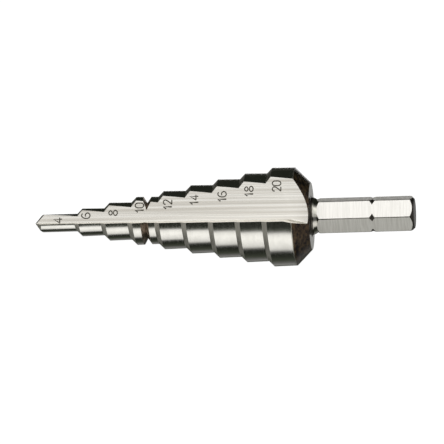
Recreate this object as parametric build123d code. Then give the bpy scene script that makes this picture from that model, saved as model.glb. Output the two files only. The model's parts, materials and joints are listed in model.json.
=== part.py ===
"""Step drill: one piece of tool steel, two straight flutes, a stepped cone and a hexagonal shank.

The drill is drawn along its own axis first: the tip is at the origin, +X runs to the shank, and the
two cutting edges lie in the XY plane, on +Y and on -Y. Everything that comes twice is made once and
turned half a turn about X. At the end the drill is laid on the floor as it comes to rest by itself:
on the rims of one flute, with the tip down and the other flute facing up.
"""
import os
from itertools import combinations
from math import cos, pi, radians, sin, tan

from build123d import *

# ---- driving dimensions, in millimetres and degrees ----

overall_length = 75.0          # from the tip to the end of the shank
body_length = 54.6             # from the tip to the flat rear face of the cone

# The steps. Diameters are those of the holes, measured at the front of each land.
tip_diameter = 4.0
diameter_rise = 2.0            # from one step to the next
step_count = 9                 # 4, 6, 8 ... 20 mm
tip_land_end = 7.6             # where the tip's land meets the first chamfer, at the cutting edge
step_pitch = 5.4               # from one chamfer to the next
chamfer_angle = 45.0           # between a chamfer and the axis
land_taper = 0.07              # radius lost along a land, so that it doesn't rub in the hole

# Relief. Every surface of a half is round about an axis of its own, moved off the drill's axis, so it
# falls away behind the cutting edge, inwards on the lands and backwards too on what faces the tip.
radial_relief = 0.2            # how far a land's own axis is moved
axial_relief = 0.5             # how much further for each unit of a surface's slope
relief_turn = 60.0             # direction of the move, counted from the cutting edge into the flute
parting_turn = 30.0            # where the halves meet, counted the same way: inside the open flute

# Rear of the cone.
rear_face_diameter = 13.3
rear_cone_angle = 45.0         # between the rear cone and the axis

# A V groove marks the land of one step.
groove_step = 4                # counted from the tip
groove_offset = 0.29           # from the middle of the land towards the shank, at the cutting edge
groove_depth = 1.25
groove_angle = 65.0
groove_lean_angle = 3.5        # between its own axis and the drill's, for the relief of its walls

# Flutes. Each is a straight V, cut along a line that climbs away from the axis, so the web between
# the flutes is thin at the tip and thick at the shank, and the V runs out on the rear cone. There the
# grinding wheel dips a little below the cutting face before it leaves the steel.
web_at_tip = 0.44              # thickness of the web between the flutes at the tip
flute_climb = 6.9              # between the flute's root and the axis
flute_angle = 97.4             # between the cutting face and the heel face
flute_root_radius = 0.12
dip_start = 50.2               # where the dip starts, from the tip
dip_angle = 12.6               # between the cutting face and the floor of the dip
dip_root_radius = 0.4

# Four-facet point. The lips are the front edges of the cutting faces.
point_angle = 118.0            # between the two lips
lip_relief_angle = 11.5        # how fast the facet behind a lip falls away
flank_angle = 43.0             # slope of the second facet, away from the XY plane
flank_lean_angle = 5.7         # how much the second facet faces the lip

# Neck and hexagonal shank.
across_flats = 6.35            # quarter-inch hexagon
hex_edge_radius = 0.2          # rounding of its long edges
collar_diameter = 7.3          # the round neck is widest next to the body
collar_length = 0.6
neck_root_radius = 0.5         # hollow rounding between the rear face and the collar
neck_diameter = 6.5            # and thinnest where the hexagon starts
neck_length = 1.27             # from the body to the hexagon
hex_lead_angle = 41.0          # between the axis and the cone that bevels the hexagon's corners there
hex_turn = 6.0                 # between a cutting edge and the nearest corner of the hexagon
end_face_diameter = 5.75
end_chamfer_angle = 45.0       # between the cone at the shank's end and the axis
notch_from_end = 8.2           # middle of the retaining notch, from the shank's end
notch_root_diameter = 6.6
notch_angle = 120.0

# ---- sizes that follow ----

cutting_radius = [(tip_diameter + diameter_rise * n) / 2 for n in range(step_count)]
largest_radius = cutting_radius[-1]
corner_radius = across_flats / 2 / cos(pi / 6)       # from the axis to a corner of the hexagon
clear_of_all = 2 * largest_radius                    # reach of a cutter that passes the whole drill
touch = 1e-4                                         # corners this near to the floor are on it


def land_end(step):
    """Where the land of a step meets the next chamfer."""
    return tip_land_end + step_pitch * step


def land_start(step):
    """Where the chamfer in front of a step reaches the step's full size."""
    rise = cutting_radius[step] - cutting_radius[step - 1] + land_taper
    return land_end(step - 1) + rise / tan(radians(chamfer_angle))


def section_of(*outline):
    """A face in a plane through the drill's axis, from points given as (along the axis, radius)."""
    points = [(along, 0, radius) for along, radius in outline]
    return make_face(Polyline(*points, close=True))


def ring(*outline):
    """A solid turned about the drill's axis from such points."""
    return revolve(section_of(*outline), Axis.X)


def rounded(section, corner, radius):
    """The section with one of its corners rounded."""
    return fillet(section.vertices().sort_by_distance(corner)[0], radius)


# ---- the stepped body ----

def relieved(along, radius, slope):
    """The inside of a relieved surface that has this radius here on the cutting edge at +Y.

    The slope is the radius gained for each millimetre towards the shank: nothing on a cylinder,
    more than nothing on what faces the tip.
    """
    turn = radians(relief_turn)
    shift = radial_relief + axial_relief * slope
    own_radius = radius - shift * cos(turn)          # the cutting edge keeps its size

    def radius_at(place):
        return own_radius + slope * (place - along)

    front, rear = 0, body_length
    if radius_at(front) > 0:
        outline = [(front, 0), (front, radius_at(front))]
    else:
        outline = [(along - own_radius / slope, 0)]
    if radius_at(rear) > 0:
        outline += [(rear, radius_at(rear)), (rear, 0)]
    else:
        outline += [(along - own_radius / slope, 0)]
    return Pos(0, shift * cos(turn), -shift * sin(turn)) * ring(*outline)


def groove_cutter():
    """A V ring about the land's own axis, leant so that the groove moves back behind the edge."""
    turn = radians(relief_turn)
    lean = radians(groove_lean_angle)
    step = groove_step - 1
    edge_root = cutting_radius[step] - groove_depth
    middle = (land_start(step) + land_end(step)) / 2 + groove_offset
    origin = (middle + edge_root * sin(lean) * cos(turn), radial_relief * cos(turn),
              -radial_relief * sin(turn))
    own_axis = Plane(origin, x_dir=(cos(lean), sin(lean) * cos(turn), -sin(lean) * sin(turn)),
                     z_dir=(0, sin(turn), cos(turn)))
    own_root = edge_root - radial_relief * cos(turn)
    reach = 2 * groove_depth
    half_width = reach * tan(radians(groove_angle / 2))
    return own_axis.location * ring((-half_width, own_root + reach), (0, own_root),
                                    (half_width, own_root + reach))


def relieved_half():
    """The half whose cutting edge is on +Y, with all its steps and its groove."""
    half = relieved(0, cutting_radius[0], 0)
    for step in range(1, step_count):
        fall = land_taper / (land_end(step) - land_start(step))
        land = relieved(land_start(step), cutting_radius[step], -fall)
        chamfer = relieved(land_start(step), cutting_radius[step], tan(radians(chamfer_angle)))
        half += land & chamfer
    half -= groove_cutter()
    turn = radians(parting_turn)
    parting = Plane((0, 0, 0), x_dir=(1, 0, 0), z_dir=(0, sin(turn), cos(turn)))
    return split(half, bisect_by=parting, keep=Keep.TOP)


def rear_cone():
    """The turned envelope that gives the body its rear cone and its flat rear face."""
    rear_radius = rear_face_diameter / 2
    cone_length = (clear_of_all - rear_radius) / tan(radians(rear_cone_angle))
    return ring((0, 0), (0, clear_of_all), (body_length - cone_length, clear_of_all),
                (body_length, rear_radius), (body_length, 0))


def flute_cutter():
    """The V that opens towards -Y, between the cutting face in the XY plane and the heel face.

    The dip at its rear is the same V, turned in the plane of the heel face.
    """
    climb = radians(flute_climb)
    heel = radians(flute_angle)
    root = Plane(origin=(0, -web_at_tip / 2, 0), x_dir=(-sin(climb), -cos(climb), 0),
                 z_dir=(-cos(climb), sin(climb), 0))         # faces the tip, its own Y is up
    section = make_face(Polyline((0, 0), (clear_of_all, 0), (clear_of_all, clear_of_all),
                                 (cos(heel) * clear_of_all, sin(heel) * clear_of_all), close=True))
    behind = root.offset(-body_length - tip_land_end)
    straight = behind * extrude(rounded(section, (0, 0, 0), flute_root_radius), amount=overall_length)
    dip = behind * extrude(rounded(section, (0, 0, 0), dip_root_radius), amount=overall_length)
    into_heel = root.y_dir * cos(heel) - root.x_dir * sin(heel)
    pivot = (dip_start, -web_at_tip / 2 - dip_start * tan(climb), 0)
    return straight, dip.rotate(Axis(pivot, into_heel), dip_angle)


def point_facets():
    """Planes of the four-facet point, as the solid's side of each."""
    lip = (1 / tan(radians(point_angle / 2)), tan(radians(lip_relief_angle)))
    flank = (-tan(radians(flank_lean_angle)), tan(radians(flank_angle)))
    for side in (1, -1):
        for slope_y, slope_z in (lip, flank):
            yield Plane((0, 0, 0), z_dir=(1, -side * slope_y, -side * slope_z))


def stepped_body():
    half = relieved_half()
    body = half + Rot(180, 0, 0) * half
    body = body & rear_cone()
    for cutter in flute_cutter():
        body -= cutter
        body -= Rot(180, 0, 0) * cutter
    for facet in point_facets():
        body = split(body, bisect_by=facet, keep=Keep.TOP)
    return body


# ---- the shank ----

def neck():
    """The round neck, a collar and a cone, with a hollow rounding on to the rear face."""
    collar_radius = collar_diameter / 2
    foot_radius = collar_radius + 2 * neck_root_radius
    foot = body_length - neck_root_radius
    section = section_of((foot, 0), (foot, foot_radius), (body_length, foot_radius),
                         (body_length, collar_radius), (body_length + collar_length, collar_radius),
                         (body_length + neck_length, neck_diameter / 2), (body_length + neck_length, 0))
    return revolve(rounded(section, (body_length, 0, collar_radius), neck_root_radius), Axis.X)


def turned_shank():
    """What turning leaves of the hexagon: the bevels at both ends and the notch."""
    front = body_length + neck_length
    front_radius = neck_diameter / 2
    lead = (corner_radius - front_radius) / tan(radians(hex_lead_angle))
    end_radius = end_face_diameter / 2
    end_chamfer = (corner_radius - end_radius) / tan(radians(end_chamfer_angle))
    notch_radius = notch_root_diameter / 2
    notch = overall_length - notch_from_end
    half_notch = (corner_radius - notch_radius) * tan(radians(notch_angle / 2))
    return ring((front, 0), (front, front_radius), (front + lead, corner_radius),
                (notch - half_notch, corner_radius), (notch, notch_radius),
                (notch + half_notch, corner_radius),
                (overall_length - end_chamfer, corner_radius), (overall_length, end_radius),
                (overall_length, 0))


def shank():
    """A hexagonal bar on a round neck."""
    flats = Plane((body_length + neck_length, 0, 0), x_dir=(0, 1, 0), z_dir=(1, 0, 0))
    outline = RegularPolygon(corner_radius, 6)
    outline = fillet(outline.vertices(), hex_edge_radius)
    hexagon = Rot(hex_turn, 0, 0) * (flats * outline)
    bar = extrude(hexagon, amount=overall_length, dir=(1, 0, 0))
    return neck() + (bar & turned_shank())


def drill_on_its_axis():
    return stepped_body() + shank()


# ---- at rest on the floor ----

def resting_plane(drill):
    """The floor under the flute that opens towards +Y and -Z, with +X along the drill.

    It holds three corners of that flute's rims, with every other corner above it and the drill's
    centre of mass over the triangle between them.
    """
    centre = drill.center(CenterOf.MASS)
    corners = [vertex.center() for vertex in drill.vertices()]
    rims = [corner for corner in corners if corner.Y > 0 and corner.Z < touch]
    for a, b, c in combinations(rims, 3):
        up = (b - a).cross(c - a)
        if up.length < touch:
            continue
        up = up.normalized() if up.dot(centre - a) > 0 else -up.normalized()
        turns = [(q - p).cross(centre - p).dot(up) for p, q in ((a, b), (b, c), (c, a))]
        stable = min(turns) > 0 or max(turns) < 0
        if stable and all((corner - a).dot(up) > -touch for corner in corners):
            return Plane(a, x_dir=Vector(1, 0, 0) - up * up.X, z_dir=up)
    raise ValueError("the drill has no rest on this flute")


drill = drill_on_its_axis()
drill = resting_plane(drill).location.inverse() * drill
box = drill.bounding_box()
drill = Pos(-box.center().X, -box.center().Y, -box.min.Z) * drill

os.makedirs("parts", exist_ok=True)
export_step(drill, "parts/step_drill.step")
print(f"step_drill: {drill.volume:.0f} mm3, {drill.bounding_box()}")
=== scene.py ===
# %% [markdown]
# # A step drill in Blender
#
# The object is a step drill: one piece of ground tool steel with nine stepped lands, two straight
# flutes and a hexagonal shank. Its solid comes from the CAD side. This lesson dresses it: a merged copy
# of the solid, the size numbers cut into one flute, twelve finishes of steel, and a studio whose
# reflections draw the bands that make steel look like steel.

# %% Imports and the frame
import json
from math import asin, atan2, cos, degrees, pi, radians, sin, tan

import bmesh
import bpy
from mathutils import Matrix, Vector


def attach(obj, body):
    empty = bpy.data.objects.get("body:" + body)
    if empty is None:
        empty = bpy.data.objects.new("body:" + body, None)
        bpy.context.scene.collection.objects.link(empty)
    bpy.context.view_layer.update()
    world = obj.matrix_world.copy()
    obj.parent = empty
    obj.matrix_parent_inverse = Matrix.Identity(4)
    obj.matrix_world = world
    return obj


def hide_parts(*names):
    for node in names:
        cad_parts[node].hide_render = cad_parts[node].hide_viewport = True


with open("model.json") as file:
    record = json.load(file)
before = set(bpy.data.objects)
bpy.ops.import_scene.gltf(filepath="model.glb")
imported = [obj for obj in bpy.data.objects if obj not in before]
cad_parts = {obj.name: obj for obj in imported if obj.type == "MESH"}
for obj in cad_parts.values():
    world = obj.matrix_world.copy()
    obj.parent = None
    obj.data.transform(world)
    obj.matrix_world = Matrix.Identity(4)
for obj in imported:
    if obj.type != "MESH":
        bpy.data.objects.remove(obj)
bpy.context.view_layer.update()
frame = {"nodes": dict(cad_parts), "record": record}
MM = 0.001
solid = frame["nodes"]["step_drill"]

# %% [markdown]
# ## Where the drill lies
#
# The drill lies on the rims of one flute, so its axis rises a little towards the shank and it is rolled
# about that axis. Everything on it is easier to place in its own frame: the tip at the origin, +X along
# the axis, and the two cutting edges on +Y and -Y. The shank's mount gives the axis; only the roll is a
# number of its own. Two matrices then lead from one frame to the other.

# %% The drill's own frame
drill_length = 75 * MM
roll = radians(-57.81)           # about the axis, from where the two cutting edges lie level

mounts = {mount["name"]: mount for mount in frame["record"]["mounts"]}
axis = Vector(mounts["shank_end"]["axis"]).normalized()
tip = Vector(mounts["shank_end"]["pos_m"]) - axis * drill_length
rise = asin(axis.z)
turn_to_room = Matrix.Rotation(-rise, 4, "Y") @ Matrix.Rotation(roll, 4, "X")
own_to_room = Matrix.Translation(tip) @ turn_to_room
room_to_own = own_to_room.inverted()
print("tip at", [round(value / MM, 2) for value in tip], "mm, axis rises", round(degrees(rise), 2), "deg")

# %% [markdown]
# ## Finishes
#
# All of it is steel, so the finishes differ in how the surface was cut: the flutes are ground along the
# drill, the lands and the hexagon across it, the rear cone is left dark from hardening, under a film of
# oil, and the numbers are engraved. Three of them are painted shade: a darker copy for two flats of the
# hexagon, nearly black for its rounded edges, and dark for the bevels, the notch and the neck's foot. A
# picture of each could be wrapped round the drill, but a few nodes do it better: noise stretched along
# one direction gives grinding lines at any scale, and the same noise moves the colour, the roughness and
# the bump together, as real scratches do. A Mapping node turns the pattern into the drill's own frame, so
# that "along" and "across" mean the same on every finish. The flutes climb away from the axis, each to
# its own side, so their pattern is folded over the axis first and then turned by the climb: that keeps
# the lines straight from one end of a flute to the other.

# %% Coordinates that lie along the drill
flute_climb = radians(6.9)       # between a flute's root and the axis


def own_coordinates(nodes, links):
    """Object coordinates turned into the drill's own frame, in millimetres."""
    coordinates = nodes.new("ShaderNodeTexCoord")
    into_own = nodes.new("ShaderNodeMapping")
    into_own.vector_type = "TEXTURE"
    into_own.inputs["Location"].default_value = tip
    into_own.inputs["Rotation"].default_value = turn_to_room.to_euler()
    into_own.inputs["Scale"].default_value = (MM, MM, MM)
    links.new(coordinates.outputs["Object"], into_own.inputs["Vector"])
    return into_own.outputs["Vector"]


def along_the_flutes(nodes, links, vector):
    """The drill's own coordinates with X turned along the root of either flute."""
    fold = nodes.new("ShaderNodeVectorMath")
    fold.operation = "ABSOLUTE"
    links.new(vector, fold.inputs[0])
    turn = nodes.new("ShaderNodeMapping")
    turn.vector_type = "POINT"
    turn.inputs["Rotation"].default_value = (0, 0, -flute_climb)
    links.new(fold.outputs["Vector"], turn.inputs["Vector"])
    return turn.outputs["Vector"]


print("the flutes climb", round(degrees(flute_climb), 1), "degrees")

# %% Grinding lines, and what they move
line_contrast = 0.6              # how strongly the finer noise shows within the lines
fine_start, fine_end = 0.3, 0.7  # most of the noise lies between these
tone_start, tone_end = 0.38, 0.62    # a shorter span of it makes the tones of the lines clearer


def grinding_lines(nodes, links, vector, stretch, detail):
    """Noise stretched into lines; the stretch says how often it changes per mm along X, Y and Z."""
    spread = nodes.new("ShaderNodeMapping")
    spread.inputs["Scale"].default_value = stretch
    links.new(vector, spread.inputs["Vector"])
    noise = nodes.new("ShaderNodeTexNoise")
    noise.inputs["Scale"].default_value = 1.0
    noise.inputs["Detail"].default_value = detail
    noise.inputs["Roughness"].default_value = line_contrast
    links.new(spread.outputs["Vector"], noise.inputs["Vector"])
    return noise.outputs["Fac"]


def tone_of(nodes, links, lines, dark, light):
    """A colour between two tones, as the lines go."""
    tones = nodes.new("ShaderNodeValToRGB")
    tones.color_ramp.elements[0].position = tone_start
    tones.color_ramp.elements[1].position = tone_end
    tones.color_ramp.elements[0].color = (*dark, 1)
    tones.color_ramp.elements[1].color = (*light, 1)
    links.new(lines, tones.inputs["Fac"])
    return tones.outputs["Color"]


def roughness_of(nodes, links, lines, smoothest, roughest):
    """A roughness between two limits, as the lines go."""
    limits = nodes.new("ShaderNodeMapRange")
    limits.inputs["From Min"].default_value = fine_start
    limits.inputs["From Max"].default_value = fine_end
    limits.inputs["To Min"].default_value = smoothest
    limits.inputs["To Max"].default_value = roughest
    links.new(lines, limits.inputs["Value"])
    return limits.outputs["Result"]


print("tones change between", tone_start, "and", tone_end, "of the noise")

# %% Ground steel
fine_detail, coarse_detail = 2.0, 3.0
line_depth = 0.01 * MM
oil_roughness = 0.25


def steel(name, dark, light, roughness, stretch, bump, coarse=None, metallic=1.0, oiled=0.0,
          in_flute=False):
    """Steel with cutting lines that move its colour, roughness and bump together."""
    material = bpy.data.materials.new(name)
    material.use_nodes = True
    nodes, links = material.node_tree.nodes, material.node_tree.links
    shader = nodes["Principled BSDF"]
    shader.inputs["Metallic"].default_value = metallic
    shader.inputs["Coat Weight"].default_value = oiled
    shader.inputs["Coat Roughness"].default_value = oil_roughness
    own = own_coordinates(nodes, links)
    if in_flute:
        own = along_the_flutes(nodes, links, own)
    fine = grinding_lines(nodes, links, own, stretch, fine_detail)
    tone = grinding_lines(nodes, links, own, coarse, coarse_detail) if coarse else fine
    links.new(tone_of(nodes, links, tone, dark, light), shader.inputs["Base Color"])
    links.new(roughness_of(nodes, links, fine, *roughness), shader.inputs["Roughness"])
    relief = nodes.new("ShaderNodeBump")
    relief.inputs["Strength"].default_value = bump
    relief.inputs["Distance"].default_value = line_depth
    links.new(fine, relief.inputs["Height"])
    links.new(relief.outputs["Normal"], shader.inputs["Normal"])
    return material


print("grinding lines are", round(line_depth / MM, 3), "mm deep")

# %% The finishes of this drill
finishes = {                     # name, dark and light tone, roughness, stretch of the lines, bump
    "flute": steel("flute ground lengthwise", (0.60, 0.57, 0.52), (0.84, 0.82, 0.78), (0.22, 0.34),
                   (0.015, 4.0, 5.0), 0.5, coarse=(0.012, 2.4, 3.0), in_flute=True),
    "root": steel("flute root", (0.60, 0.58, 0.52), (0.76, 0.74, 0.68), (0.5, 0.6),
                  (0.015, 4.0, 5.0), 0.3, in_flute=True),
    "land": steel("land ground round", (0.68, 0.665, 0.625), (0.73, 0.715, 0.675), (0.12, 0.20),
                  (5.0, 0.3, 0.3), 0.25, coarse=(0.9, 0.5, 0.5)),
    "chamfer": steel("chamfer ground", (0.51, 0.495, 0.43), (0.61, 0.595, 0.525), (0.28, 0.38),
                     (3.0, 0.5, 0.5), 0.4),
    "cone": steel("rear cone left dark", (0.012, 0.004, 0.004), (0.15, 0.095, 0.045), (0.35, 0.5),
                  (7.0, 0.8, 0.8), 0.8, coarse=(1.6, 0.9, 0.9), oiled=0.8),
    "groove": steel("groove turned rough", (0.11, 0.11, 0.075), (0.54, 0.46, 0.40), (0.35, 0.5),
                    (6.0, 0.5, 0.5), 0.6, coarse=(1.2, 0.6, 0.6)),
    "turned": steel("neck turned bright", (0.50, 0.49, 0.44), (0.61, 0.59, 0.54), (0.08, 0.16),
                    (6.0, 0.4, 0.4), 0.4),
    # painted shade: the bevels, the notch and the neck's foot are coloured dark for the shade they show
    "bevel": steel("bevel and notch painted dark for shade", (0.07, 0.063, 0.052), (0.14, 0.13, 0.115),
                   (0.3, 0.4), (6.0, 0.4, 0.4), 0.4),
    "hexagon": steel("hexagon ground across", (0.77, 0.75, 0.72), (0.88, 0.86, 0.83), (0.40, 0.48),
                     (5.0, 0.2, 0.2), 0.5, metallic=0.55),
    # painted shade: two flats of the hexagon get a darker copy of its steel, for the flat turned from the
    # light
    "shade_painted_flat": steel("hexagon flat ground dull", (0.54, 0.53, 0.49), (0.65, 0.64, 0.60), (0.40, 0.48),
                  (5.0, 0.2, 0.2), 0.5),
    # painted shade: the hexagon's rounded edges are coloured nearly black for the dark reflection along
    # them
    "edge": steel("hexagon edge painted dark for shade", (0.02, 0.018, 0.012), (0.20, 0.19, 0.17), (0.3, 0.4),
                  (2.0, 1.0, 1.0), 0.3, coarse=(0.15, 0.5, 0.5)),
    "mark": steel("engraved mark", (0.055, 0.05, 0.035), (0.15, 0.135, 0.105), (0.5, 0.65),
                  (3.0, 3.0, 3.0), 0.3, metallic=0.6),
}
finish_order = list(finishes)
print("finishes:", ", ".join(material.name for material in finishes.values()))

# %% [markdown]
# ## The body
#
# The solid arrives as loose triangles. A copy is merged, so that neighbouring faces share their edges,
# and every face then gets the finish of the surface it belongs to. Painting by hand would be lost at the
# next change of the solid, so the faces are told apart by where they are and which way they face, in
# the drill's own frame. Flat surfaces are then made whole, because the long thin triangles of a CAD mesh
# are hard to cut into.

# %% Merge a copy
merge_distance = 0.002 * MM

skin = bmesh.new()
skin.from_mesh(solid.data)
bmesh.ops.remove_doubles(skin, verts=skin.verts, dist=merge_distance)
bmesh.ops.dissolve_degenerate(skin, edges=skin.edges, dist=merge_distance)
bmesh.ops.transform(skin, matrix=room_to_own, verts=skin.verts)
open_edges = [edge for edge in skin.edges if not edge.is_manifold]
print("merged:", len(skin.verts), "vertices,", len(skin.faces), "faces,", len(open_edges), "open edges")

# %% Tell the surfaces of the shank apart
neck_foot_end = 55.1 * MM        # a small hollow leads from the rear face of the cone to the neck
hexagon_start = 55.87 * MM
end_bevel = 0.72 * MM            # how long the bevel at the front end of the hexagon is
rear_face_slope = 0.998          # the slope is the share of a face's direction that lies along the axis
hexagon_slope = 0.2
flat_turn, flats_apart = radians(36), radians(60)    # the first flat's turn about the axis, and the next's
edge_turn = radians(3)           # what turns further from every flat is an edge between two of them
shade_painted_every = 3                   # two opposite flats of the six get a darker colour: painted shade


def shank_finish(facing, place):
    """The finish of a face behind the rear cone."""
    if place.x < hexagon_start:
        # painted shade: the neck's foot, in the hollow by the rear face, gets the dark bevel colour
        in_foot = place.x < neck_foot_end and facing.x < rear_face_slope
        return "bevel" if in_foot else "turned"
    if abs(facing.x) > hexagon_slope:
        # painted shade: behind the hexagon's front bevel, faces along the axis get the dark bevel colour
        return "turned" if place.x < hexagon_start + end_bevel else "bevel"
    flat = (atan2(facing.z, facing.y) - flat_turn) / flats_apart
    # painted shade: a face turned away from every flat is an edge and gets the nearly black colour
    if abs(flat - round(flat)) * flats_apart > edge_turn:
        return "edge"
    # painted shade: two opposite flats get the darker colour
    return "shade_painted_flat" if round(flat) % shade_painted_every == 0 else "hexagon"


print("flat sides of the shank:", round(2 * pi / flats_apart))

# %% Tell the surfaces of the flutes apart
flute_angle = radians(97.4)      # between the cutting face and the heel face
half_web = 0.22 * MM             # from the axis to the root of a flute, at the tip
root_reach = 0.8 * MM            # the rounded root lies within this distance of the sharp one
square_to = 0.985                # a face belongs to the heel face when it is this nearly parallel to it
cutting_face_up, cutting_face_slope = 0.97, 0.25    # the cutting face looks up and hardly along
root_inward, root_slope = 0.05, 0.4                 # the root looks out of the flute and hardly along

root_along = Vector((cos(flute_climb), -sin(flute_climb), 0))
across_root = Vector((-sin(flute_climb), -cos(flute_climb), 0))
heel_up = across_root * cos(flute_angle) + Vector((0, 0, 1)) * sin(flute_angle)
heel_normal = root_along.cross(heel_up)
flutes = (Matrix.Identity(3), Matrix.Rotation(pi, 3, "X"))


def flute_finish(facing, place):
    """The finish of a face that points out of the first flute, or None."""
    if facing.dot(heel_normal) > square_to:
        return "flute"
    if facing.z > cutting_face_up and abs(facing.x) < cutting_face_slope:
        return "flute"
    from_root = Vector((place.y + half_web + place.x * tan(flute_climb), place.z)).length
    inward = min(facing.dot(heel_normal), facing.z) > root_inward and abs(facing.x) < root_slope
    return "root" if from_root < root_reach and inward else None


print("a heel face looks along", [round(value, 3) for value in heel_normal])

# %% Give every face its finish
body_end = 54.6 * MM             # where the flat rear face is
cone_start = 50 * MM             # all that leans towards the shank after this is the rear cone
groove_middle, groove_end = 21.4 * MM, 23.5 * MM     # its rear wall leans as a chamfer does
cone_slope, land_slope = 0.5, 0.3


def finish_of(face):
    """The name of the finish of the surface that a face belongs to."""
    facing, place = face.normal, face.calc_center_median()
    if place.x > body_end - merge_distance:
        return shank_finish(facing, place)
    for turn in flutes:
        in_flute = flute_finish(turn @ facing, turn @ place)
        if in_flute:
            return in_flute
    if facing.x > cone_slope and place.x > cone_start:
        return "cone"
    if abs(facing.x) < land_slope:
        return "land"
    return "groove" if facing.x > 0 or groove_middle < place.x < groove_end else "chamfer"


skin.normal_update()
count = dict.fromkeys(finish_order, 0)
for face in skin.faces:
    name = finish_of(face)
    face.material_index = finish_order.index(name)
    count[name] += 1
print("faces of each finish:", count)

# %% Make flat surfaces whole
flat_within = radians(0.1)

bmesh.ops.dissolve_limit(skin, angle_limit=flat_within, verts=skin.verts, edges=skin.edges,
                         delimit={"MATERIAL"})
print("with its flat surfaces whole:", len(skin.faces), "faces")

# %% [markdown]
# ## Two broken edges on each half
#
# No ground edge of a real drill is quite sharp: a stone breaks the long edge between the point and the
# heel face, and the rim between the last land and the cone. A rounded look could come from a Bevel node,
# but a narrow flat of its own can have a finish of its own: dark on the first edge, where the dark colour
# is painted shade, and bright on the second. These flats draw the thin lines that end both surfaces.

# %% Choose the edges
point_end = 2 * MM
shortest_heel_edge = 1.5 * MM
sliver = 0.005 * MM              # points of the tip that lie closer together than this become one


def finishes_beside(edge):
    """The names of the finishes on the two sides of an edge."""
    return {finish_order[face.material_index] for face in edge.link_faces}


def is_on_heel(face):
    """Whether a face belongs to the heel face of either flute."""
    return any((turn @ face.normal).dot(heel_normal) > square_to for turn in flutes)


def is_heel_front(edge):
    """Whether an edge is the long one between the point and a heel face."""
    in_point = max(vert.co.x for vert in edge.verts) < point_end
    is_long = edge.calc_length() > shortest_heel_edge
    on_heel = any(is_on_heel(face) for face in edge.link_faces)
    return in_point and is_long and on_heel and finishes_beside(edge) == {"flute", "chamfer"}


point_verts = [vert for vert in skin.verts if vert.co.x < point_end]
bmesh.ops.remove_doubles(skin, verts=point_verts, dist=sliver)
heel_fronts = [edge for edge in skin.edges if is_heel_front(edge)]
rims = [edge for edge in skin.edges if finishes_beside(edge) == {"land", "cone"}]
print("edges to break:", len(heel_fronts), "behind the point,", len(rims), "on the rims")

# %% Break them
broken_back = 0.14 * MM
rim_broken_back = 0.11 * MM


def break_edges(edges, back, finish):
    """Takes a narrow flat off some edges and gives it a finish."""
    broken = bmesh.ops.bevel(skin, geom=edges, offset=back, offset_type="OFFSET", segments=1, profile=0.5,
                             affect="EDGES", clamp_overlap=False, material=-1)
    for face in broken["faces"]:
        face.material_index = finish_order.index(finish)
    return len(broken["faces"])


# painted shade: the flat behind the point gets the dark bevel colour
heel_flats = break_edges(heel_fronts, broken_back, "bevel")
rim_flats = break_edges(rims, rim_broken_back, "chamfer")
print("flats:", heel_flats, "and", rim_flats)

# %% Put the body in the solid's place
drill_mesh = bpy.data.meshes.new("drill")
bmesh.ops.transform(skin, matrix=own_to_room, verts=skin.verts)
skin.to_mesh(drill_mesh)
skin.free()
for material in finishes.values():
    drill_mesh.materials.append(material)
drill = bpy.data.objects.new("drill", drill_mesh)
bpy.context.collection.objects.link(drill)
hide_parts("step_drill")
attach(drill, "root")
print("the drill:", len(drill_mesh.polygons), "faces")

# %% [markdown]
# ## The size numbers
#
# Beside each land the flute carries the diameter of the hole that this land makes. On the real drill a
# round point engraves them, one stroke after another: shallow, dark and a little uneven. They could be a
# bump in the material, but real cuts catch the light at their walls. So each digit is a few strokes of a
# curve with a round section, and each stroke is taken out of the flute with a Boolean. A font would give
# wider digits of even outline; the strokes keep the narrow hand of an engraving machine. The numbers
# read across the drill, with their tops towards the tip.

# %% The strokes of each digit
digit_height = 1.7 * MM
gap_after = {"1": 0.28, "2": 0.13}
digit_width = {"0": 0.54, "1": 0.22, "2": 0.52, "4": 0.60, "6": 0.62, "8": 0.60}
strokes = {                      # in boxes one unit high, from the foot of the digit at 0 to its top at 1
    "0": [("loop", (0.27, 1), (0.04, 0.85), (0, 0.5), (0.04, 0.15), (0.27, 0), (0.5, 0.15), (0.54, 0.5),
           (0.5, 0.85))],
    "1": [("straight", (0, 0.68), (0.22, 1), (0.22, 0))],
    "2": [("round", (0.02, 0.72), (0.06, 0.92), (0.26, 1), (0.46, 0.92), (0.5, 0.72), (0.38, 0.45), (0, 0)),
          ("straight", (0, 0), (0.52, 0))],
    "4": [("straight", (0.42, 0), (0.42, 1), (0, 0.28)), ("straight", (0, 0.28), (0.6, 0.28))],
    "6": [("round", (0.56, 0.88), (0.34, 1), (0.1, 0.85), (0, 0.5), (0.03, 0.2), (0.15, 0.05), (0.32, 0),
           (0.52, 0.08), (0.62, 0.28), (0.52, 0.48), (0.35, 0.56), (0.19, 0.5))],
    "8": [("loop", (0.3, 0.605), (0.14, 0.66), (0.06, 0.8), (0.14, 0.94), (0.3, 1), (0.46, 0.94),
           (0.54, 0.8), (0.46, 0.66)),
          ("loop", (0.3, 0.445), (0.1, 0.38), (0, 0.22), (0.1, 0.06), (0.3, 0), (0.5, 0.06),
           (0.6, 0.22), (0.5, 0.38))],
}
print("strokes in all digits:", sum(len(parts) for parts in strokes.values()))

# %% One stroke as a cutter
stroke_radius = 0.13 * MM
firmer_stroke = {"1": 1.3}       # the stroke of this digit is cut with more pressure
stroke_lift = 0.03 * MM          # from the flute's face to the middle of the stroke
bar_resolution = 1               # of the stroke's round section: few faces, as the digits are small
steps_straight, steps_round = 1, 3


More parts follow.
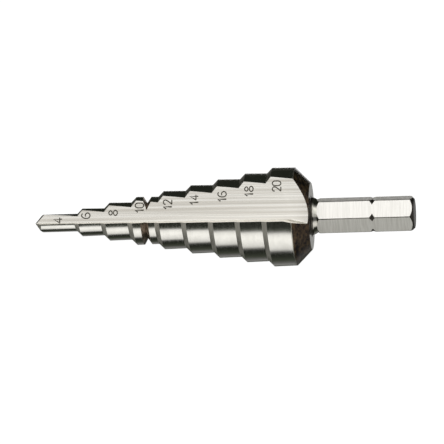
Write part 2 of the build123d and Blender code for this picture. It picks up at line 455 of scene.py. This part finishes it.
def stroke_cutter(start, radius, shape, points, to_room):
    """One stroke as a thin round bar that lies in the flute's face."""
    curve = bpy.data.curves.new("stroke", "CURVE")
    curve.dimensions = "3D"
    curve.bevel_depth = radius
    curve.bevel_resolution = bar_resolution
    curve.use_fill_caps = True
    spline = curve.splines.new("BEZIER")
    spline.bezier_points.add(len(points) - 1)
    spline.use_cyclic_u = shape == "loop"
    spline.resolution_u = steps_straight if shape == "straight" else steps_round
    for knot, (x, y) in zip(spline.bezier_points, points):
        knot.co = ((start + x) * digit_height, (y - 0.5) * digit_height, stroke_lift)
        knot.handle_left_type = knot.handle_right_type = "VECTOR" if shape == "straight" else "AUTO"
    drawn = bpy.data.objects.new("stroke", curve)
    bpy.context.collection.objects.link(drawn)
    bpy.context.view_layer.update()
    mesh = bpy.data.meshes.new_from_object(drawn.evaluated_get(bpy.context.evaluated_depsgraph_get()))
    bpy.data.objects.remove(drawn)
    mesh.transform(to_room)
    mesh.materials.clear()
    mesh.materials.append(finishes["mark"])
    return mesh


print("strokes are cut", round((stroke_radius - stroke_lift) / MM, 2), "mm deep")

# %% Take a stroke out
cut_gap = 0.0005 * MM            # points of a cut that lie closer together than this become one
hole_corners = 4


def mend(mesh):
    """Closes the slivers that a cut can leave open."""
    cut = bmesh.new()
    cut.from_mesh(mesh)
    bmesh.ops.remove_doubles(cut, verts=cut.verts, dist=cut_gap)
    bmesh.ops.holes_fill(cut, edges=[edge for edge in cut.edges if edge.is_boundary], sides=hole_corners)
    cut.to_mesh(mesh)
    cut.free()


def take_out(mesh):
    """Cuts one stroke out of the drill."""
    cutter = bpy.data.objects.new("cutter", mesh)
    bpy.context.collection.objects.link(cutter)
    cut = drill.modifiers.new("stroke", "BOOLEAN")
    cut.operation = "DIFFERENCE"
    cut.solver = "EXACT"
    cut.object = cutter
    cut.material_mode = "TRANSFER"
    bpy.context.view_layer.update()
    result = bpy.data.meshes.new_from_object(drill.evaluated_get(bpy.context.evaluated_depsgraph_get()))
    drill.modifiers.clear()
    drill.data = result
    bpy.data.objects.remove(cutter)
    mend(result)


print("holes of up to", hole_corners, "corners are closed after a cut")

# %% Cut the numbers
numbers = {                      # how far along the flute's root and up its face each number sits, in mm
    "4": (4.53, 0.62), "6": (10.15, 1.44), "8": (15.65, 1.90), "10": (20.96, 2.84), "12": (26.64, 3.40),
    "14": (31.98, 4.26), "16": (37.60, 4.79), "18": (43.02, 5.73), "20": (48.60, 6.63),
}


def engrave(text, along, up):
    """Cuts a number into the flute, with its middle at this place on the heel face."""
    place = Vector((0, -half_web, 0)) + root_along * along * MM + heel_up * up * MM
    facing = Matrix((heel_up, -root_along, heel_normal)).transposed().to_4x4()
    to_room = own_to_room @ Matrix.Translation(place) @ facing
    gaps = [gap_after[digit] for digit in text[:-1]]
    pen = -(sum(digit_width[digit] for digit in text) + sum(gaps)) / 2
    for digit, gap in zip(text, gaps + [0]):
        radius = stroke_radius * firmer_stroke.get(digit, 1)
        for shape, *points in strokes[digit]:
            take_out(stroke_cutter(pen, radius, shape, points, to_room))
        pen += digit_width[digit] + gap


for text, (along, up) in numbers.items():
    before = len(drill.data.polygons)
    engrave(text, along, up)
    print(text, "took", len(drill.data.polygons) - before, "more faces")

# %% [markdown]
# ## Round and sharp
#
# The lands are round and their facets shouldn't show, but every ground edge has to stay crisp. Shading
# all of it smooth would blur the chamfers, so every face is smooth and an edge is marked sharp where its
# two faces turn by more than the lands' facets do.

# %% Mark the sharp edges
sharp_angle = radians(24)

numbered = drill.data
shade = bmesh.new()
shade.from_mesh(numbered)
for face in shade.faces:
    face.smooth = True
for edge in shade.edges:
    edge.smooth = edge.is_manifold and edge.calc_face_angle(0) < sharp_angle
print("sharp edges:", sum(not edge.smooth for edge in shade.edges))
shade.to_mesh(numbered)
shade.free()
print("with its numbers:", len(numbered.polygons), "faces", len(numbered.materials), "materials")

# %% [markdown]
# ## The floor
#
# The drill lies on a plain white floor. A white paint alone would render grey, as the light on it is
# dim. So the floor shows as white to the camera by its own colour, and a tenth of it is left as paint
# that catches the drill's shadow. The steel doesn't reflect it: there the dark cards of the studio
# have to show.

# %% Floor
floor_size = 4.0
floor_white = 0.9
floor_roughness = 0.9
glow_strength = 1.1
glow_share = 0.9                 # the rest of what the camera sees is paint

bpy.ops.mesh.primitive_plane_add(size=floor_size)
floor = bpy.context.object
floor.name = "floor"
floor_paint = bpy.data.materials.new("white floor")
floor_paint.use_nodes = True
nodes, links = floor_paint.node_tree.nodes, floor_paint.node_tree.links
matt = nodes["Principled BSDF"]
matt.inputs["Base Color"].default_value = (floor_white, floor_white, floor_white, 1)
matt.inputs["Roughness"].default_value = floor_roughness
matt.inputs["Specular IOR Level"].default_value = 0.0
glow = nodes.new("ShaderNodeEmission")
glow.inputs["Strength"].default_value = glow_strength
mix = nodes.new("ShaderNodeMixShader")
light_path = nodes.new("ShaderNodeLightPath")
share = nodes.new("ShaderNodeMath")
share.operation = "MULTIPLY"
share.inputs[1].default_value = glow_share
links.new(light_path.outputs["Is Camera Ray"], share.inputs[0])
links.new(share.outputs["Value"], mix.inputs["Fac"])
links.new(matt.outputs["BSDF"], mix.inputs[1])
links.new(glow.outputs["Emission"], mix.inputs[2])
links.new(mix.outputs["Shader"], nodes["Material Output"].inputs["Surface"])
floor.data.materials.append(floor_paint)
floor.visible_glossy = False
print("floor:", floor_size, "m wide")

# %% [markdown]
# ## The camera
#
# The camera looks down on the open flute from the side of the cutting edge, with the drill nearly level
# across the picture. Small things seen from afar show no perspective, so the camera is orthographic.

# %% Camera
view_turn = radians(5.2)         # of the view about the drill's axis, from the heel's side
view_swing = radians(5.1)        # off square to the axis
view_tilt = radians(1.6)         # the drill rises this much in the picture
picture_side = 444               # in pixels
pixels_per_mm = 5.08
tip_across, tip_down = 35.5, 223.72
camera_distance = 300 * MM
nearest_seen, farthest_seen = 0.01, 10    # in metres

picture_width = picture_side / pixels_per_mm * MM
centre_right = (picture_side / 2 - tip_across) / pixels_per_mm * MM
centre_above = (tip_down - picture_side / 2) / pixels_per_mm * MM
swing = Matrix.Rotation(-view_turn, 3, "X") @ Matrix.Rotation(view_swing, 3, "Z")
right, ahead, above = swing @ Vector((1, 0, 0)), swing @ Vector((0, 1, 0)), swing @ Vector((0, 0, 1))
right, above = (right * cos(view_tilt) - above * sin(view_tilt),
                above * cos(view_tilt) + right * sin(view_tilt))
turn_only = own_to_room.to_3x3()
camera_data = bpy.data.cameras.new("camera")
camera_data.type = "ORTHO"
camera_data.ortho_scale = picture_width
camera = bpy.data.objects.new("camera", camera_data)
bpy.context.collection.objects.link(camera)
centre = right * centre_right + above * centre_above
facing = Matrix((turn_only @ right, turn_only @ above, turn_only @ -ahead)).transposed().to_4x4()
camera.matrix_world = Matrix.Translation(own_to_room @ (centre - ahead * camera_distance)) @ facing
camera_data.clip_start, camera_data.clip_end = nearest_seen, farthest_seen
bpy.context.scene.camera = camera
print("camera at", [round(value, 3) for value in camera.matrix_world.translation])

# %% [markdown]
# ## The studio
#
# Polished steel has hardly any colour of its own: it shows the studio. There, long white and black
# cards hang beside such a drill, and their edges become the crisp bands on its lands. The same cards
# could be built as lamps and planes, but the world can hold them all: its brightness depends on the
# direction round the drill's axis, white where a card would be and dark between them. Past either end
# of the drill hangs a grey wall. One narrow card, high behind the drill, is hidden from the surfaces
# that lean towards the tip. The camera itself sees plain white.

# %% The cards round the drill
cards = [                         # direction round the axis from the camera, in degrees, and brightness
    (-180, 0.36), (-174, 0.36), (-170, 0.05), (-160, 0.06), (-154, 0.32), (-146, 0.22), (-138, 0.15),
    (-126, 0.07), (-108, 0.03), (-98, 0.02), (-91, 0.10), (-87, 0.5), (-84, 0.87), (-75, 1.05),
    (-66, 1.2), (-56, 1.32), (-44, 1.12), (-41, 0.85), (-38, 0.3), (-34, 0.08), (-29, 0.025),
    (-8, 0.01), (-3, 1.04), (14, 1.06), (22, 1.6), (62, 1.6), (76, 0.35), (92, 0.02), (172, 0.02),
    (176, 0.36),
]
white_tint, dark_tint = (1, 1, 0.98), (0.88, 1, 0.76)
dark_below = 0.1


def part_of_turn(angle):
    """Where a direction lies in a full turn, from 0 to 1."""
    return (angle + 180) / 360


def fill_ramp(ramp, stops):
    """Gives a colour ramp its stops, each with a position and a colour."""
    elements = ramp.color_ramp.elements
    while len(elements) > 1:
        elements.remove(elements[0])
    for index, (position, colour) in enumerate(stops):
        element = elements[0] if index == 0 else elements.new(position)
        element.position = position
        element.color = colour


def card_colour(brightness):
    """White cards are a little warm, and the black ones a little green."""
    tint = dark_tint if brightness < dark_below else white_tint
    return (*(brightness * part for part in tint), 1)


world = bpy.data.worlds.new("studio")
bpy.context.scene.world = world
world.use_nodes = True
nodes, links = world.node_tree.nodes, world.node_tree.links
direction = nodes.new("ShaderNodeTexCoord")
own_direction = nodes.new("ShaderNodeMapping")
own_direction.vector_type = "POINT"
own_direction.inputs["Rotation"].default_value = (
    Matrix((turn_only @ -ahead, turn_only @ above, turn_only @ -right)).to_euler())
links.new(direction.outputs["Generated"], own_direction.inputs["Vector"])
round_axis = nodes.new("ShaderNodeTexGradient")
round_axis.gradient_type = "RADIAL"
links.new(own_direction.outputs["Vector"], round_axis.inputs["Vector"])
card_ramp = nodes.new("ShaderNodeValToRGB")
fill_ramp(card_ramp, [(part_of_turn(angle), card_colour(brightness)) for angle, brightness in cards])
links.new(round_axis.outputs["Fac"], card_ramp.inputs["Fac"])
print("stops of the cards:", len(card_ramp.color_ramp.elements))

# %% The walls past its ends
rear_wall, front_wall = 0.25, 0.36
walls = [                         # place along the axis from 0, behind the shank, to 1; grey; cover
    (0, rear_wall, 1), (0.08, rear_wall, 1), (0.14, rear_wall, 0),
    (0.84, front_wall, 0), (0.92, front_wall, 1), (1, front_wall, 1),
]

split = nodes.new("ShaderNodeSeparateXYZ")
links.new(own_direction.outputs["Vector"], split.inputs["Vector"])
wall_ramp = nodes.new("ShaderNodeValToRGB")
fill_ramp(wall_ramp, [(place, (grey, grey, grey, cover)) for place, grey, cover in walls])
along_axis = nodes.new("ShaderNodeMapRange")
along_axis.inputs["From Min"].default_value = -1
links.new(split.outputs["Z"], along_axis.inputs["Value"])
links.new(along_axis.outputs["Result"], wall_ramp.inputs["Fac"])
with_walls = nodes.new("ShaderNodeMix")
with_walls.data_type = "RGBA"
links.new(wall_ramp.outputs["Alpha"], with_walls.inputs["Factor"])
links.new(card_ramp.outputs["Color"], with_walls.inputs["A"])
links.new(wall_ramp.outputs["Color"], with_walls.inputs["B"])
print("walls from", walls[1][0], "down and from", walls[-2][0], "up")

# %% The high card
high_card_at, high_card_reach = 169, 4          # in degrees, and as far to both sides of it
high_card_light, high_card_dim = 1.3, 0.2
square_on_start, square_on_end = 0.52, 0.58     # the card is dim past this place along the axis

high_card = nodes.new("ShaderNodeMath")
high_card.operation = "COMPARE"
high_card.inputs[1].default_value = part_of_turn(high_card_at)
high_card.inputs[2].default_value = high_card_reach / 360
links.new(round_axis.outputs["Fac"], high_card.inputs[0])
square_on = nodes.new("ShaderNodeMapRange")
square_on.inputs["From Min"].default_value = square_on_start
square_on.inputs["From Max"].default_value = square_on_end
square_on.inputs["To Min"].default_value = high_card_light
square_on.inputs["To Max"].default_value = high_card_dim
links.new(along_axis.outputs["Result"], square_on.inputs["Value"])
high_light = nodes.new("ShaderNodeMath")
high_light.operation = "MULTIPLY"
links.new(high_card.outputs["Value"], high_light.inputs[0])
links.new(square_on.outputs["Result"], high_light.inputs[1])
with_high_card = nodes.new("ShaderNodeMix")
with_high_card.data_type = "RGBA"
with_high_card.blend_type = "LIGHTEN"
with_high_card.inputs["Factor"].default_value = 1
links.new(with_walls.outputs["Result"], with_high_card.inputs["A"])
links.new(high_light.outputs["Value"], with_high_card.inputs["B"])
print("high card at", high_card_at, "degrees, brightness", high_card_light)

# %% White for the camera
light_path = nodes.new("ShaderNodeLightPath")
shown = nodes.new("ShaderNodeMix")
shown.data_type = "RGBA"
shown.inputs["B"].default_value = (1, 1, 1, 1)
links.new(light_path.outputs["Is Camera Ray"], shown.inputs["Factor"])
links.new(with_high_card.outputs["Result"], shown.inputs["A"])
links.new(shown.outputs["Result"], nodes["Background"].inputs["Color"])
bpy.context.scene.view_settings.view_transform = "Standard"
print("nodes in the world:", len(nodes))
